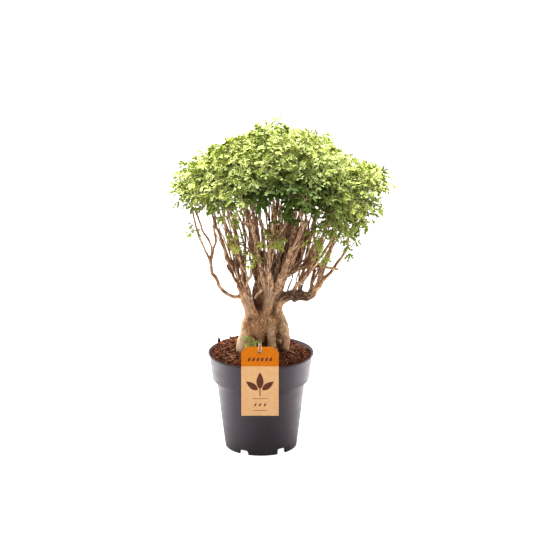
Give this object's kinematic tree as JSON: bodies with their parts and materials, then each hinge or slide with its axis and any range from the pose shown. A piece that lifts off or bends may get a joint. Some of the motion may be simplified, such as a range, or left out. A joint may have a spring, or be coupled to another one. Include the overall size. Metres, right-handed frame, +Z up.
{
  "type": "potted aralia bonsai",
  "caption": "Bonsai aralia with a stump on splayed legs, bare stems and a domed crown of small lobed leaves, in a round black nursery pot with a hang tag.",
  "frame": {"origin": "middle of the pot's flat underside, where it rests", "axes": "+Z up, +X to the right as the hang tag is read, -Y out of the front of the pot towards the viewer of the tag"},
  "size_m": [0.401, 0.3113, 0.5986],
  "materials": {
    "pot_plastic": "satin",
    "compost": "matte",
    "bark": "matte",
    "leaves": "satin",
    "tag_card": "matte",
    "string": "satin"
  },
  "bodies": {
    "root": {"pot": "pot_plastic", "soil": "compost", "trunk_and_branches": "bark", "crown_spray_01": "leaves", "crown_spray_02": "leaves", "crown_spray_03": "leaves", "crown_spray_04": "leaves", "crown_spray_05": "leaves", "crown_spray_06": "leaves", "crown_spray_07": "leaves", "crown_spray_08": "leaves", "crown_spray_09": "leaves", "crown_spray_10": "leaves", "crown_spray_11": "leaves", "crown_spray_12": "leaves", "crown_spray_13": "leaves", "crown_spray_14": "leaves", "crown_spray_15": "leaves", "crown_spray_16": "leaves", "crown_spray_17": "leaves", "crown_spray_18": "leaves", "crown_spray_19": "leaves", "crown_spray_20": "leaves", "crown_spray_21": "leaves", "crown_spray_22": "leaves", "crown_spray_23": "leaves", "crown_spray_24": "leaves", "rim_spray_01": "leaves", "rim_spray_02": "leaves", "rim_spray_03": "leaves", "rim_spray_04": "leaves", "rim_spray_05": "leaves", "rim_spray_06": "leaves", "rim_spray_07": "leaves", "rim_spray_08": "leaves", "rim_spray_09": "leaves", "rim_spray_10": "leaves", "sprig_front": "leaves", "sprig_left": "leaves", "sprig_low_right": "leaves", "sprig_middle": "leaves", "sprig_outer_left": "leaves", "sprig_outer_right": "leaves", "sprig_right": "leaves", "sprig_top": "leaves", "sprout_foot": "leaves", "hang_tag": "tag_card", "tag_string": "string"}
  },
  "joints": []
}
